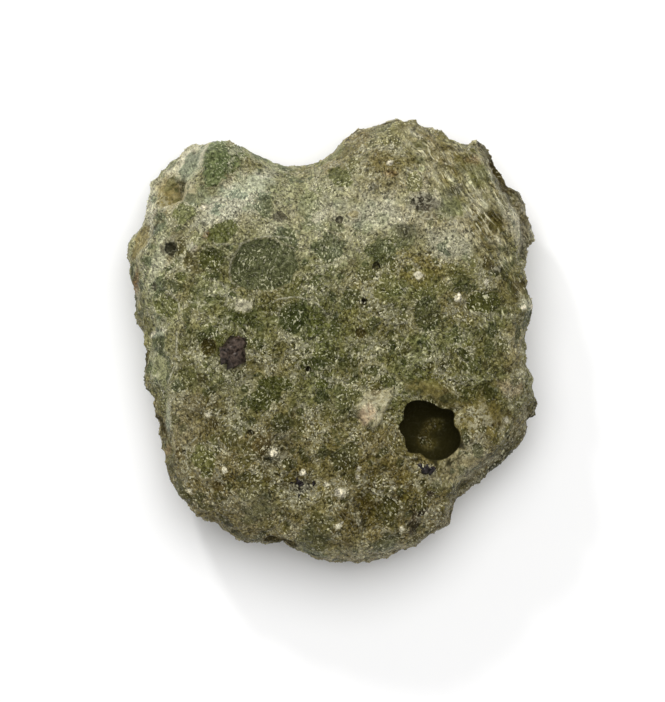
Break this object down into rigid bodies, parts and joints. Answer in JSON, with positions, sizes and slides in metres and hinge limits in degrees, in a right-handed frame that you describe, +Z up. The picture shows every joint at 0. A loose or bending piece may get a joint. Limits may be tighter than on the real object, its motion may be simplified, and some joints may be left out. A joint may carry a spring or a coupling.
{
  "type": "trinitite specimen",
  "caption": "Heart-shaped lump of green blast-fused desert glass with a sandy, pitted crust and one deep round bubble hollow, lying flat on its rough underside.",
  "frame": {"origin": "in the resting plane, under the middle of the bounding box", "axes": "+Z up from the resting plane, +Y towards the side with the smooth bay, +X to the right with the bay at the far side"},
  "size_m": [0.0426, 0.046, 0.016],
  "materials": {
    "blast_glass": "opaque olive-green glass crusted with sand, mostly rough with small glossy spots"
  },
  "bodies": {
    "root": {"trinitite": "blast_glass"}
  },
  "joints": []
}
